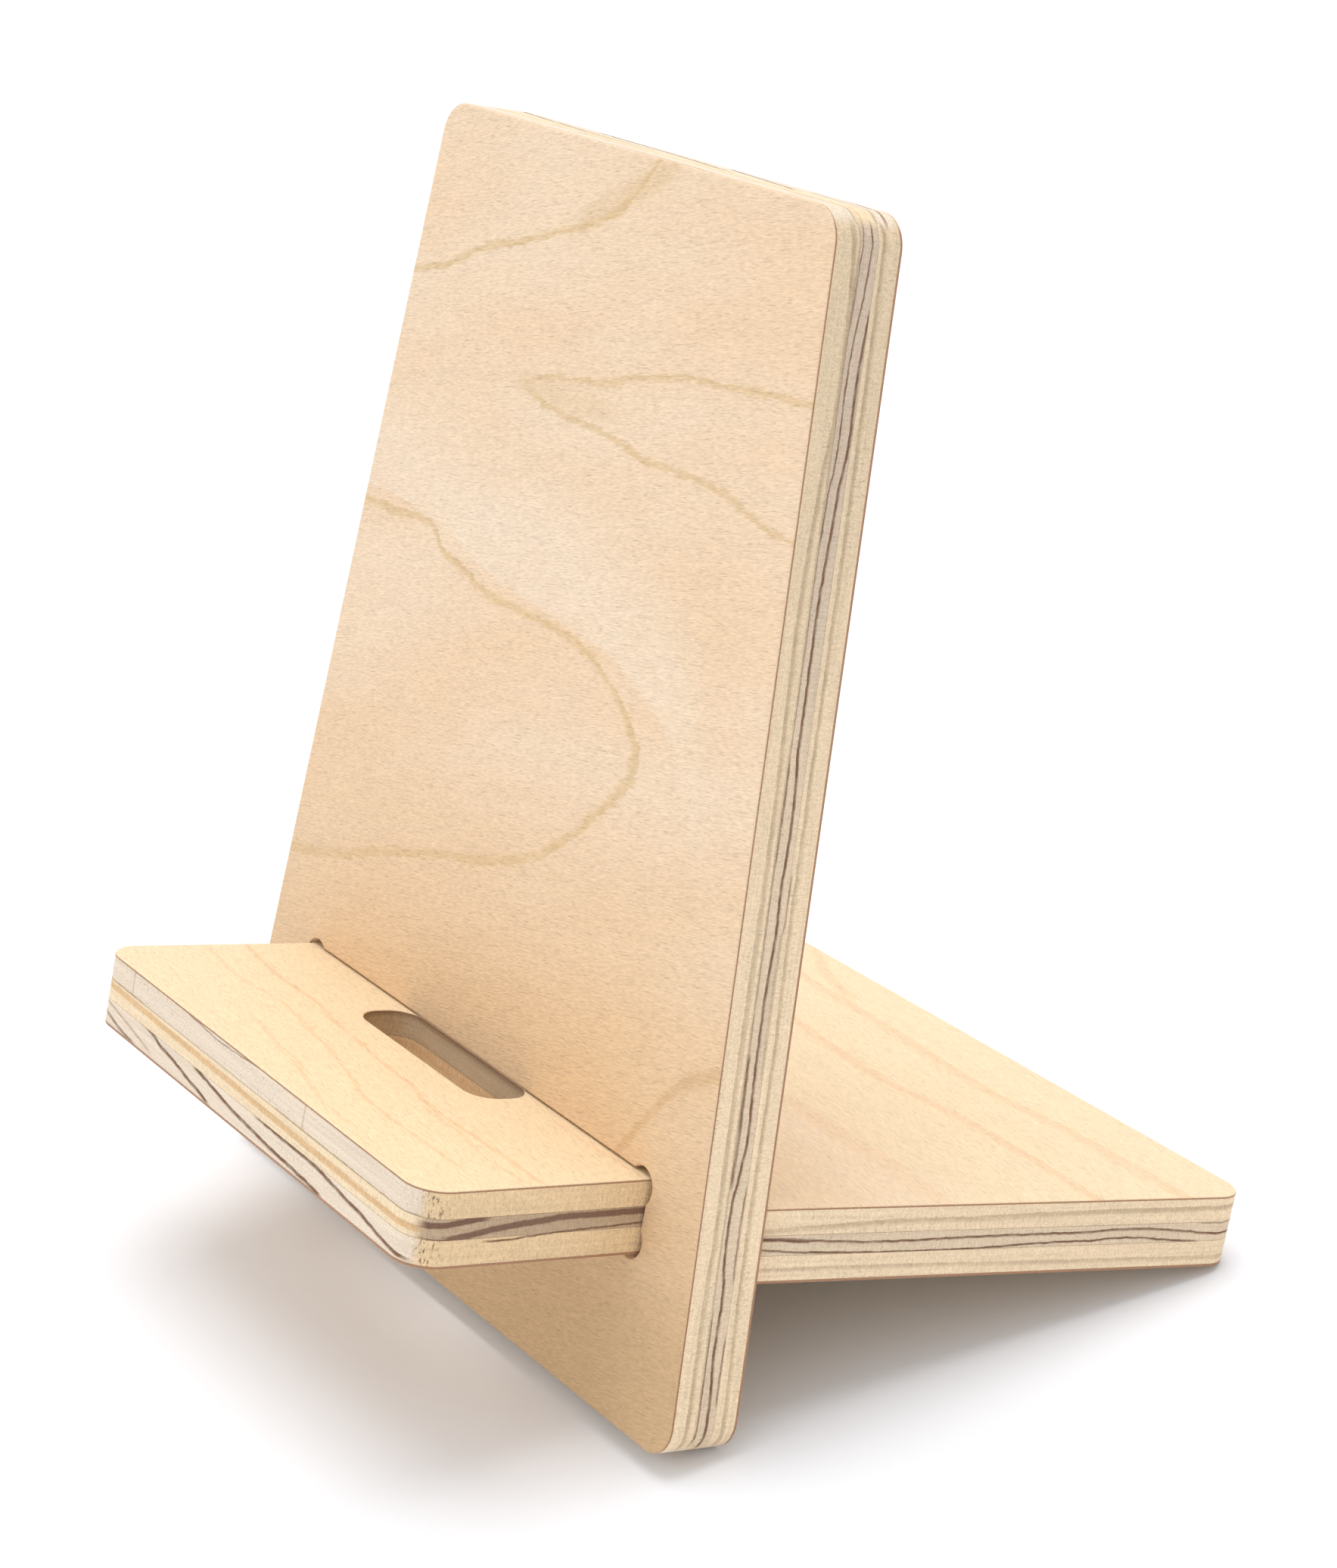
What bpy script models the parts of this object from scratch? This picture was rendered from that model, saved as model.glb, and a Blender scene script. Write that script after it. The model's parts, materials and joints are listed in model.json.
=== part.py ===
"""Knock-down plywood phone stand.

Two boards are cut from one sheet of five-ply plywood. The upright board leans back and has a
slot low in its face. The cross board passes through that slot: its narrow tongue is the shelf
that the phone stands on, and its wide end is the base plate behind. Both boards flare by the
same angle. The stand rests on the lower rear edge of each board.

Frame: +Z up, +X to the right of someone facing the phone, +Y to the rear. The origin is at
the middle of the footprint, on the table.
"""

import math

import bpy
from mathutils import Matrix, Vector

# The sheet, front (or top) ply last: name of the ply and its thickness in metres.
SHEET_THICKNESS = 0.0120
GLUE_LINE = 0.00005
UPRIGHT_PLIES = (
    ("back_rear_veneer", 0.00040),
    ("back_rear_crossband", 0.00380),
    ("back_core", 0.00310),
    ("back_front_crossband", 0.00415),
    ("back_front_veneer", 0.00035),
)
CROSS_PLIES = (
    ("base_bottom_veneer", 0.00040),
    ("base_lower_crossband", 0.00395),
    ("base_core", 0.00320),
    ("base_upper_crossband", 0.00390),
    ("base_top_veneer", 0.00035),
)

# Upright board.
UPRIGHT_HEIGHT = 0.1818
UPRIGHT_FOOT_HALF_WIDTH = 0.0697
FLARE = math.radians(5.18)
OUTER_CORNER_RADIUS = 0.0055

# Cross board. Its top face crosses the upright board at SHELF_HEIGHT above the foot.
SHELF_HEIGHT = 0.0383
SHELF_DEPTH = 0.0389
TONGUE_HALF_WIDTH = 0.0525
BASE_LENGTH = 0.0914
BASE_SHOULDER_HALF_WIDTH = 0.0656

# Fit of the two boards, and the reliefs that the router leaves in square inner corners.
CLEARANCE = 0.0003
RELIEF_RADIUS = 0.0030

# Cable hole through the shelf, its rear edge just behind the upright board's front face.
HOLE_HALF_WIDTH = 0.0196
HOLE_FRONT = 0.0100
HOLE_REAR = 0.0006
HOLE_RADIUS = 0.0045

CORNER_STEPS = 8
RELIEF_STEPS = 12

# The base plate's lower rear edge and the upright board's lower rear edge both touch the table.
TILT = math.atan2(SHELF_HEIGHT - SHEET_THICKNESS, BASE_LENGTH)
SHELF_REACH = SHEET_THICKNESS + SHELF_DEPTH


def clear_scene():
    for item in list(bpy.data.objects):
        bpy.data.objects.remove(item, do_unlink=True)


def make_collection(name):
    collection = bpy.data.collections.new(name)
    bpy.context.scene.collection.children.link(collection)
    return collection


def make_material(name, colour, roughness):
    material = bpy.data.materials.new(name)
    material.use_nodes = True
    shader = material.node_tree.nodes["Principled BSDF"]
    shader.inputs["Base Color"].default_value = (*colour, 1.0)
    shader.inputs["Roughness"].default_value = roughness
    shader.inputs["Metallic"].default_value = 0.0
    material.diffuse_color = (*colour, 1.0)
    return material


def sweep(centre, radius, start, end, steps):
    """Points along an arc about centre, from one angle to another."""
    angles = [start + (end - start) * step / steps for step in range(steps + 1)]
    return [centre + radius * Vector((math.cos(angle), math.sin(angle))) for angle in angles]


def rounded_corner(before, corner, after, radius):
    """The arc that touches both sides of a corner."""
    towards_before = (before - corner).normalized()
    towards_after = (after - corner).normalized()
    half_angle = towards_before.angle(towards_after) / 2
    centre = corner + (towards_before + towards_after).normalized() * radius / math.sin(half_angle)
    tangent = radius / math.tan(half_angle)
    first = corner + towards_before * tangent - centre
    last = corner + towards_after * tangent - centre
    start = math.atan2(first.y, first.x)
    turn = first.angle_signed(last)
    return sweep(centre, radius, start, start - turn, CORNER_STEPS)


def relieved_corner(before, corner, after, radius):
    """The half circle that a cutter leaves when it runs right into a square inner corner.

    The circle passes through the corner, and its centre is on the side of the open space.
    """
    towards_before = (before - corner).normalized()
    towards_after = (after - corner).normalized()
    centre = corner + (towards_before + towards_after) * radius / math.sqrt(2)
    first = corner + towards_before * radius * math.sqrt(2) - centre
    start = math.atan2(first.y, first.x)
    side = 1 if towards_after.cross(towards_before) > 0 else -1
    return sweep(centre, radius, start, start + side * math.pi, RELIEF_STEPS)


def outline(corners):
    """A closed outline from (x, y, treatment, radius) corners."""
    treatments = {"rounded": rounded_corner, "relieved": relieved_corner}
    spots = [Vector((x, y)) for x, y, _, _ in corners]
    points = []
    for index, (_, _, treatment, radius) in enumerate(corners):
        before = spots[index - 1]
        after = spots[(index + 1) % len(spots)]
        if treatment in treatments:
            points += treatments[treatment](before, spots[index], after, radius)
        else:
            points.append(spots[index])
    return points


def mirrored(right_half):
    """The corners of a shape that is symmetric about x = 0, from those of its right half."""
    left_half = [(-x, y, treatment, radius) for x, y, treatment, radius in reversed(right_half)]
    return outline(right_half + left_half)


def upright_outline():
    head = UPRIGHT_FOOT_HALF_WIDTH - UPRIGHT_HEIGHT * math.tan(FLARE)
    return mirrored([
        (UPRIGHT_FOOT_HALF_WIDTH, 0.0, "rounded", OUTER_CORNER_RADIUS),
        (head, UPRIGHT_HEIGHT, "rounded", OUTER_CORNER_RADIUS),
    ])


def slot_outline():
    half_width = TONGUE_HALF_WIDTH + CLEARANCE
    bottom = SHELF_HEIGHT - SHEET_THICKNESS - CLEARANCE
    top = SHELF_HEIGHT + CLEARANCE
    return mirrored([
        (half_width, bottom, "relieved", RELIEF_RADIUS),
        (half_width, top, "relieved", RELIEF_RADIUS),
    ])


def cross_outline():
    rear = BASE_SHOULDER_HALF_WIDTH + BASE_LENGTH * math.tan(FLARE)
    return mirrored([
        (TONGUE_HALF_WIDTH, -SHELF_REACH, "rounded", OUTER_CORNER_RADIUS),
        (TONGUE_HALF_WIDTH, CLEARANCE, "relieved", RELIEF_RADIUS),
        (BASE_SHOULDER_HALF_WIDTH, CLEARANCE, "square", 0.0),
        (rear, BASE_LENGTH, "rounded", OUTER_CORNER_RADIUS),
    ])


def hole_outline():
    front = -SHEET_THICKNESS - HOLE_FRONT
    rear = -SHEET_THICKNESS + HOLE_REAR
    return mirrored([
        (HOLE_HALF_WIDTH, front, "rounded", HOLE_RADIUS),
        (HOLE_HALF_WIDTH, rear, "rounded", HOLE_RADIUS),
    ])


def cut_sheet(name, loops, low, high, board, material, collection):
    """One ply: the loops filled between two heights above the board's rear or lower face."""
    curve = bpy.data.curves.new(name, "CURVE")
    curve.dimensions = "2D"
    curve.fill_mode = "BOTH"
    curve.extrude = (high - low) / 2
    for loop in loops:
        spline = curve.splines.new("POLY")
        spline.points.add(len(loop) - 1)
        for point, spot in zip(spline.points, loop):
            point.co = (spot.x, spot.y, 0.0, 1.0)
        spline.use_cyclic_u = True
    curve.materials.append(material)
    ply = bpy.data.objects.new(name, curve)
    ply.parent = board
    ply.location = (0.0, 0.0, (low + high) / 2)
    collection.objects.link(ply)
    return ply


def stack_plies(plies, loops, board, materials, collection):
    level = 0.0
    for name, thickness in plies:
        cut_sheet(name, loops, level, level + thickness, board, materials[name], collection)
        level += thickness + GLUE_LINE


def place_board(name, foot, turn, collection):
    """An empty that carries one board: its XY plane is the board's rear or lower face."""
    board = bpy.data.objects.new(name, None)
    board.matrix_world = Matrix.Translation(foot) @ Matrix.Rotation(turn, 4, "X")
    collection.objects.link(board)
    return board


def footprint_middle():
    """Half way between the shelf's front edge and the base plate's rear edge, from the foot."""
    front = -SHELF_REACH * math.cos(TILT) + (SHELF_HEIGHT - SHEET_THICKNESS) * math.sin(TILT)
    rear = BASE_LENGTH * math.cos(TILT) + SHELF_HEIGHT * math.sin(TILT)
    return (front + rear) / 2


def build():
    clear_scene()
    stand = make_collection("phone_stand")

    face = (0.80, 0.60, 0.39)
    crossband = (0.74, 0.60, 0.40)
    core = (0.62, 0.53, 0.42)
    tints = {"veneer": (face, 0.50), "crossband": (crossband, 0.65), "core": (core, 0.65)}
    materials = {}
    for name, _ in UPRIGHT_PLIES + CROSS_PLIES:
        colour, roughness = tints[name.split("_")[-1]]
        materials[name] = make_material(name, colour, roughness)

    foot = Vector((0.0, -footprint_middle(), 0.0))
    up_the_board = Vector((0.0, math.sin(TILT), math.cos(TILT)))
    underside = foot + up_the_board * (SHELF_HEIGHT - SHEET_THICKNESS)
    upright = place_board("upright_board", foot, math.pi / 2 - TILT, stand)
    cross = place_board("cross_board", underside, -TILT, stand)

    stack_plies(UPRIGHT_PLIES, [upright_outline(), slot_outline()], upright, materials, stand)
    stack_plies(CROSS_PLIES, [cross_outline(), hole_outline()], cross, materials, stand)


build()
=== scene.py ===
import json
import math
from collections import namedtuple

import bpy
import numpy as np
from mathutils import Matrix, Vector
from mathutils.geometry import delaunay_2d_cdt


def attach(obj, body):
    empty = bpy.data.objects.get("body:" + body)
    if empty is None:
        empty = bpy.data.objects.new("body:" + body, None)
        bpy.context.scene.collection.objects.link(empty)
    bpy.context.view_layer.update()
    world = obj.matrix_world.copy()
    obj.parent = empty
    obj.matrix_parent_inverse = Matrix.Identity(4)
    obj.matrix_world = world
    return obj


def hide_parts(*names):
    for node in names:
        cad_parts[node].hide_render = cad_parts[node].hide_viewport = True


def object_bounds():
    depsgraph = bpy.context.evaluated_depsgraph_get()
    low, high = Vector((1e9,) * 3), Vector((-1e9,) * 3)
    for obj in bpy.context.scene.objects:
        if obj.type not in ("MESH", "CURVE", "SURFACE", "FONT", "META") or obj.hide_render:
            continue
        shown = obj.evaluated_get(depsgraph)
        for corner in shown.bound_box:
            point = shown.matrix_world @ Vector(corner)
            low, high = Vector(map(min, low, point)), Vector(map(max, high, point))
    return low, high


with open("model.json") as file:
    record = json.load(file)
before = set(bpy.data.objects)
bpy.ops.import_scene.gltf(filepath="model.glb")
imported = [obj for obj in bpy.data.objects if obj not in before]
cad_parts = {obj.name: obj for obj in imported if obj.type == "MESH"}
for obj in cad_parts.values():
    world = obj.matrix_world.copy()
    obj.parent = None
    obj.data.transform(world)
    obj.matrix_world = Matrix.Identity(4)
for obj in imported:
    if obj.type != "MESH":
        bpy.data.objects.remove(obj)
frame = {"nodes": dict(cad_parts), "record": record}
cad_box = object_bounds()

# A knock-down phone stand: a leaning upright board, slotted over a cross board whose tongue is the
# shelf. Each board is a stack of five plies, and each ply here is one piece with its cut edges,
# eased corners and wood figure. Board shapes are worked out in millimetres, as (across, along,
# through) the board, and then placed in metres.
MM = 0.001

# Upright board: along is up from its foot, through is forward from its rear face.
UPRIGHT_HEIGHT = 181.8
UPRIGHT_FOOT_HALF_WIDTH = 69.7
FLARE = math.radians(5.18)
OUTER_CORNER_RADIUS = 5.5

# Cross board: along is rearwards from the upright's rear face, through is up from its underside.
SHEET_THICKNESS = 12.0
SHELF_HEIGHT = 38.3
SHELF_REACH = 50.9
TONGUE_HALF_WIDTH = 52.5
BASE_LENGTH = 91.4
BASE_SHOULDER_HALF_WIDTH = 65.6

# Fit of the boards, the cutter's reliefs in square inner corners, and the cable hole.
CLEARANCE = 0.3
RELIEF_RADIUS = 3.0
HOLE_HALF_WIDTH = 19.6
HOLE_FRONT = -22.0
HOLE_REAR = -11.4
HOLE_RADIUS = 4.5

# How finely a ply is built: along its outline, and down its cut edge.
OUTLINE_STEP = 0.5
WALL_STEP = 0.33
CORNER_POINTS = 21
RELIEF_POINTS = 25
EASING_POINTS = 5

# Easing of a sanded arris, of a rear or lower arris and at a glue line, and the flat margin inside.
SANDED = 0.30
SHARP = 0.12
GLUED = 0.03
MARGIN = 0.35

# Depth of the cutter's chatter and of torn grain on a cut edge, the size of their cells, how much of
# the edge is torn, and how soon both fade at a face.
CHATTER = 0.018
CHATTER_CELL = (1.7, 1.7, 6.0)
TORN = 0.05
TORN_CELL = (0.9, 0.9, 0.7)
TORN_ABOVE = 0.45
STEADY = 0.3

# What turns a lattice corner into a pseudo-random number, and keeps the boards off its middle.
HASH_STEPS = (12.9898, 78.233, 37.719)
HASH_SCALE = 43758.5453
HASH_OFFSET = 97.0

# How far apart the random seeds of two plies are, and of a ply's chatter and torn grain.
PLY_SEED_STEP = 11.0
TORN_SEED_STEP = 5


# --- Outlines: closed runs of complex numbers, across + i along ------------------------------------

def rounded(before, corner, after, radius):
    """The arc that touches both sides of a corner: centre on the bisector, at radius / sin(half)."""
    back = (before - corner) / abs(before - corner)
    ahead = (after - corner) / abs(after - corner)
    half = abs(np.angle(ahead / back)) / 2
    centre = corner + (back + ahead) / abs(back + ahead) * radius / math.sin(half)
    first = corner + back * radius / math.tan(half) - centre
    last = corner + ahead * radius / math.tan(half) - centre
    turn = np.angle(last / first)
    return centre + first * np.exp(1j * turn * np.linspace(0, 1, CORNER_POINTS))


def relieved(before, corner, after, radius):
    """The half circle a cutter leaves in a square inner corner: it runs through the corner, and
    its centre is one radius from it along the bisector, on the open side."""
    back = (before - corner) / abs(before - corner)
    ahead = (after - corner) / abs(after - corner)
    centre = corner + (back + ahead) * radius / math.sqrt(2)
    first = corner + back * radius * math.sqrt(2) - centre
    side = 1 if (ahead.conjugate() * back).imag > 0 else -1
    return centre + first * np.exp(1j * side * math.pi * np.linspace(0, 1, RELIEF_POINTS))


def square(before, corner, after, radius):
    """The corner itself, left sharp."""
    return np.array([corner])


def outline(corners):
    """A closed outline through (place, treatment, radius) corners: each corner's own arc, and
    evenly spaced points on the straight stretches between arcs."""
    places = [place for place, _, _ in corners]
    arcs = []
    for index, (place, treatment, radius) in enumerate(corners):
        arcs.append(treatment(places[index - 1], place, places[(index + 1) % len(places)], radius))
    runs = []
    for arc, following in zip(arcs, arcs[1:] + arcs[:1]):
        span = following[0] - arc[-1]
        count = max(int(abs(span) / OUTLINE_STEP), 1)
        between = arc[-1] + span * np.arange(1, count) / count
        runs += [arc, between]
    return np.concatenate(runs)


def mirrored(right_half):
    """An outline that is symmetric about across = 0, from the corners of its right half."""
    left_half = [(-place.conjugate(), treatment, radius) for place, treatment, radius in right_half]
    return outline(right_half + left_half[::-1])


def upright_outline():
    head = UPRIGHT_FOOT_HALF_WIDTH - UPRIGHT_HEIGHT * math.tan(FLARE)
    return mirrored([
        (complex(UPRIGHT_FOOT_HALF_WIDTH, 0), rounded, OUTER_CORNER_RADIUS),
        (complex(head, UPRIGHT_HEIGHT), rounded, OUTER_CORNER_RADIUS),
    ])


def slot_outline():
    half_width = TONGUE_HALF_WIDTH + CLEARANCE
    low = SHELF_HEIGHT - SHEET_THICKNESS - CLEARANCE
    return mirrored([
        (complex(half_width, low), relieved, RELIEF_RADIUS),
        (complex(half_width, SHELF_HEIGHT + CLEARANCE), relieved, RELIEF_RADIUS),
    ])


def cross_outline():
    rear = BASE_SHOULDER_HALF_WIDTH + BASE_LENGTH * math.tan(FLARE)
    return mirrored([
        (complex(TONGUE_HALF_WIDTH, -SHELF_REACH), rounded, OUTER_CORNER_RADIUS),
        (complex(TONGUE_HALF_WIDTH, CLEARANCE), relieved, RELIEF_RADIUS),
        (complex(BASE_SHOULDER_HALF_WIDTH, CLEARANCE), square, 0),
        (complex(rear, BASE_LENGTH), rounded, OUTER_CORNER_RADIUS),
    ])


def hole_outline():
    return mirrored([
        (complex(HOLE_HALF_WIDTH, HOLE_FRONT), rounded, HOLE_RADIUS),
        (complex(HOLE_HALF_WIDTH, HOLE_REAR), rounded, HOLE_RADIUS),
    ])


# --- Boards, and the plies cut from them -----------------------------------------------------------

def lattice_noise(points, cell, seed):
    """Smooth noise from -1 to 1: pseudo-random values at the corners of a lattice of the given
    cell, blended by 3 t^2 - 2 t^3 along each direction."""
    places = points / np.asarray(cell) + HASH_OFFSET + seed
    base = np.floor(places)
    part = places - base
    part = part * part * (3 - 2 * part)
    total = np.zeros(len(points))
    for corner in np.ndindex(2, 2, 2):
        weight = np.prod(np.where(corner, part, 1 - part), axis=1)
        mixed = (base + corner) @ np.array(HASH_STEPS)
        total += weight * (np.mod(np.sin(mixed) * HASH_SCALE, 1.0) * 2 - 1)
    return total


def section(thickness, ease_low, ease_high):
    """The section of a cut edge, from the lower face round to the upper: rows of (inset, height,
    outwardness, upness). Quarter circles of the two easing radii, joined by a straight wall, with
    a flat margin inside each."""
    quarter = np.linspace(0, math.pi / 2, EASING_POINTS)
    wall = np.linspace(ease_low, thickness - ease_high, max(int(thickness / WALL_STEP), 2) + 1)[1:-1]
    still = np.zeros(len(wall))
    inset = [[MARGIN + ease_low], ease_low * (1 - np.sin(quarter)), still,
             ease_high * (1 - np.cos(quarter)), [MARGIN + ease_high]]
    height = [[0], ease_low * (1 - np.cos(quarter)), wall,
              thickness - ease_high * (1 - np.sin(quarter)), [thickness]]
    outwardness = [[0], np.sin(quarter), still + 1, np.cos(quarter), [0]]
    upness = [[-1], -np.cos(quarter), still, np.sin(quarter), [1]]
    return [np.concatenate(rows) for rows in (inset, height, outwardness, upness)]


def outward_of(loop):
    """The direction out of the wood at each point of an outline that keeps the wood on its left:
    the mean direction of travel, turned right."""
    step = np.roll(loop, -1) - loop
    step = step / abs(step)
    mean = step + np.roll(step, 1)
    return -1j * mean / abs(mean)


def cut_edge(loop, rows, seed):
    """The section carried along an outline: each row is the outline, moved in by the row's inset,
    at the row's height. Chatter and torn grain push the wall in and out. Returns points and
    facings, both (across, along, through)."""
    inset, height, outwardness, upness = rows
    out = outward_of(loop)
    flat = loop[None, :] - out[None, :] * inset[:, None]
    points = np.stack([flat.real, flat.imag, np.repeat(height[:, None], len(loop), 1)], -1)
    spread = points.reshape(-1, 3)
    rough = CHATTER * lattice_noise(spread, CHATTER_CELL, seed)
    torn = lattice_noise(spread, TORN_CELL, seed + TORN_SEED_STEP) - TORN_ABOVE
    rough = (rough - TORN * np.maximum(torn, 0)).reshape(flat.shape)
    clear = np.clip(np.minimum(height - height[0], height[-1] - height) / STEADY, 0, 1)
    points[..., 0] += out.real * rough * (outwardness * clear)[:, None]
    points[..., 1] += out.imag * rough * (outwardness * clear)[:, None]
    facing = np.stack([
        out.real * outwardness[:, None],
        out.imag * outwardness[:, None],
        np.repeat(upness[:, None], len(loop), 1),
    ], -1)
    return points, facing


# How the face triangulation treats its edges: what is outside them is dropped, and points closer
# than this are one.
INSIDE_ONLY = 1
MERGE_DISTANCE = 1e-6


def inside(places, loop):
    """Whether each place is inside a closed outline, by counting the edges that a ray along
    +across meets."""
    first, second = loop, np.roll(loop, -1)
    spans = (first.imag[None] > places.imag[:, None]) != (second.imag[None] > places.imag[:, None])
    rise = np.where(second.imag == first.imag, 1.0, second.imag - first.imag)
    meets = first.real + (places.imag[:, None] - first.imag) / rise * (second.real - first.real)
    return (spans & (meets > places.real[:, None])).sum(1) % 2 == 1


def face_triangles(outer, hole):
    """Triangles that fill the face between two closed runs of points, anticlockwise, as indices
    into the outer run followed by the hole's run."""
    places = np.concatenate([outer, hole])
    ring = np.arange(len(outer))
    hole_ring = np.arange(len(hole))
    edges = [np.stack([ring, np.roll(ring, -1)], 1),
             np.stack([hole_ring, np.roll(hole_ring, -1)], 1) + len(outer)]
    found = delaunay_2d_cdt(
        [Vector((place.real, place.imag)) for place in places],
        np.concatenate(edges).tolist(), [], INSIDE_ONLY, MERGE_DISTANCE)
    source = np.array([ids[0] for ids in found[3]])
    triangles = source[np.array(found[2])]
    middle = places[triangles].mean(1)
    triangles = triangles[~inside(middle, hole)]
    corner = places[triangles]
    turn = ((corner[:, 1] - corner[:, 0]).conj() * (corner[:, 2] - corner[:, 0])).imag
    return np.where(turn[:, None] > 0, triangles, triangles[:, ::-1])


def band_quads(rows, count, start):
    """Quads between neighbouring rows of a closed edge, facing out of the wood."""
    row, step = np.meshgrid(np.arange(rows - 1), np.arange(count), indexing="ij")
    following = (step + 1) % count
    corners = [row * count + step, row * count + following,
               (row + 1) * count + following, (row + 1) * count + step]
    return start + np.stack(corners, -1).reshape(-1, 4)


def fill_mesh(name, points, quads, triangles):
    """A mesh of quads and triangles, filled as whole arrays."""
    mesh = bpy.data.meshes.new(name)
    mesh.vertices.add(len(points))
    mesh.vertices.foreach_set("co", points.astype(np.float32).ravel())
    mesh.loops.add(quads.size + triangles.size)
    corners = np.concatenate([quads.ravel(), triangles.ravel()])
    mesh.loops.foreach_set("vertex_index", corners.astype(np.int32))
    starts = np.concatenate([np.arange(len(quads)) * 4, quads.size + np.arange(len(triangles)) * 3])
    mesh.polygons.add(len(starts))
    mesh.polygons.foreach_set("loop_start", starts.astype(np.int32))
    mesh.polygons.foreach_set("use_smooth", np.ones(len(starts), bool))
    mesh.update(calc_edges=True)
    mesh.validate()
    return mesh


class Board:
    """One board of the stand: its three directions, its corner of origin and its two outlines.
    The wood is on the left of both outlines."""

    def __init__(self, body, along, through, outer, hole, first_along, rear_node):
        directions = np.array([(1.0, 0.0, 0.0), tuple(along), tuple(through)])
        self.axes = directions / np.linalg.norm(directions, axis=1)[:, None]
        self.body = body
        self.outer = outer
        self.hole = hole[::-1]
        self.origin = np.zeros(3)
        low, _ = self.reach(rear_node)
        self.origin = (low[1:] - np.array([first_along * MM, 0.0])) @ self.axes[1:]
        margin = MARGIN + GLUED
        inner_outer = self.outer - outward_of(self.outer) * margin
        inner_hole = self.hole - outward_of(self.hole) * margin
        self.face = face_triangles(inner_outer, inner_hole)

    def reach(self, node):
        """A CAD node's lowest and highest (across, along, through) on this board, in metres."""
        spots = np.empty(len(frame["nodes"][node].data.vertices) * 3)
        frame["nodes"][node].data.vertices.foreach_get("co", spots)
        own = (spots.reshape(-1, 3) - self.origin) @ self.axes.T
        return own.min(0), own.max(0)

    def ply(self, node, slot, ease_low, ease_high, seed, material):
        """One ply in place of its CAD node: both cut edges, and the two faces between them."""
        low, high = self.reach(node)
        level, thickness = low[2] / MM, (high[2] - low[2]) / MM
        rows = section(thickness, ease_low, ease_high)
        points, facings, quads, last_rows, first_rows, start = [], [], [], [], [], 0
        for loop in (self.outer, self.hole):
            spots, facing = cut_edge(loop, rows, seed)
            count = len(loop)
            quads.append(band_quads(len(rows[0]), count, start))
            first_rows.append(start + np.arange(count))
            last_rows.append(start + (len(rows[0]) - 1) * count + np.arange(count))
            points.append(spots.reshape(-1, 3))
            facings.append(facing.reshape(-1, 3))
            start += spots.shape[0] * count
        own = np.concatenate(points) + np.array([0.0, 0.0, level])
        upper = np.concatenate(last_rows)[self.face]
        lower = np.concatenate(first_rows)[self.face][:, ::-1]
        placed = own * MM @ self.axes + self.origin
        mesh = fill_mesh(node + "_ply", placed, np.concatenate(quads), np.concatenate([upper, lower]))
        store = mesh.attributes.new("board_mm", "FLOAT_VECTOR", "POINT")
        store.data.foreach_set("vector", own.astype(np.float32).ravel())
        store = mesh.attributes.new("facing", "FLOAT_VECTOR", "POINT")
        store.data.foreach_set("vector", np.concatenate(facings).astype(np.float32).ravel())
        mesh.materials.append(material)
        piece = bpy.data.objects.new(node + "_ply", mesh)
        bpy.context.scene.collection.objects.link(piece)
        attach(piece, self.body)
        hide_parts(node)
        return piece


# --- Wood: fields on the surface, and the finishes made of them --------------------------------------

# Noise is stretched so that it fills about -1 to 1.
NOISE_REACH = 1.6

# The reddened edge of a face veneer: how dark it is, how dark on the upright's top and foot, how
# wide its soft margin is, and where that starts on an upper and a lower veneer.
GLUE_EDGE = 0.85
FAINT_GLUE_EDGE = 0.3
GLUE_MARGIN = 0.16
UPPER_GLUE_START = 0.06
LOWER_GLUE_START = -0.10

# How far the wood's relief stands, in metres, and the roughness that it varies about.
FACE_RELIEF = 0.00003
EDGE_RELIEF = 0.00007
FACE_ROUGHNESS = 0.52
CROSSBAND_ROUGHNESS = 0.68
CORE_ROUGHNESS = 0.70
SPECULAR_LEVEL = 0.3

# Where short cracks cross the end of an upper crossband, across the board, and where along the
# tongue the pits near its front corners set in.
CRACK_PLACES = (-40.6, 17.8)
PITTED_CORNER = (-44.5, -48.5)

# How far past the cable hole's outline its browning reaches, along the board, and where it stops
# across the board, beyond the hole's half width. Then the levels between which painted shade
# darkens its walls towards the top face.
HOLE_BROWN_REACH = 1.5
HOLE_BROWN_START = 3
HOLE_BROWN_STOP = 6
HOLE_SHADE_LEVELS = (10.2, 11.8)

# An edge counts as a side edge as it turns through this much, and a face begins on its arris here.
EDGE_TURN = 0.3
ARRIS = (0.55, 0.97)

# Slope of the face grain on the upright's front and rear and on the cross board.
FRONT_SLOPE = 0.2
REAR_SLOPE = 0.1
CROSS_SLOPE = -0.05


class Field:
    """One output of a shader node, as a quantity in sums: each operator adds its Math node."""

    def __init__(self, wood, socket):
        self.wood = wood
        self.socket = socket

    def __add__(self, other):
        return self.wood.maths("ADD", self, other)

    def __sub__(self, other):
        return self.wood.maths("SUBTRACT", self, other)

    def __rsub__(self, other):
        return self.wood.maths("SUBTRACT", other, self)

    def __mul__(self, other):
        return self.wood.maths("MULTIPLY", self, other)

    def __abs__(self):
        return self.wood.maths("ABSOLUTE", self, 0.0)

    __radd__ = __add__
    __rmul__ = __mul__


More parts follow.
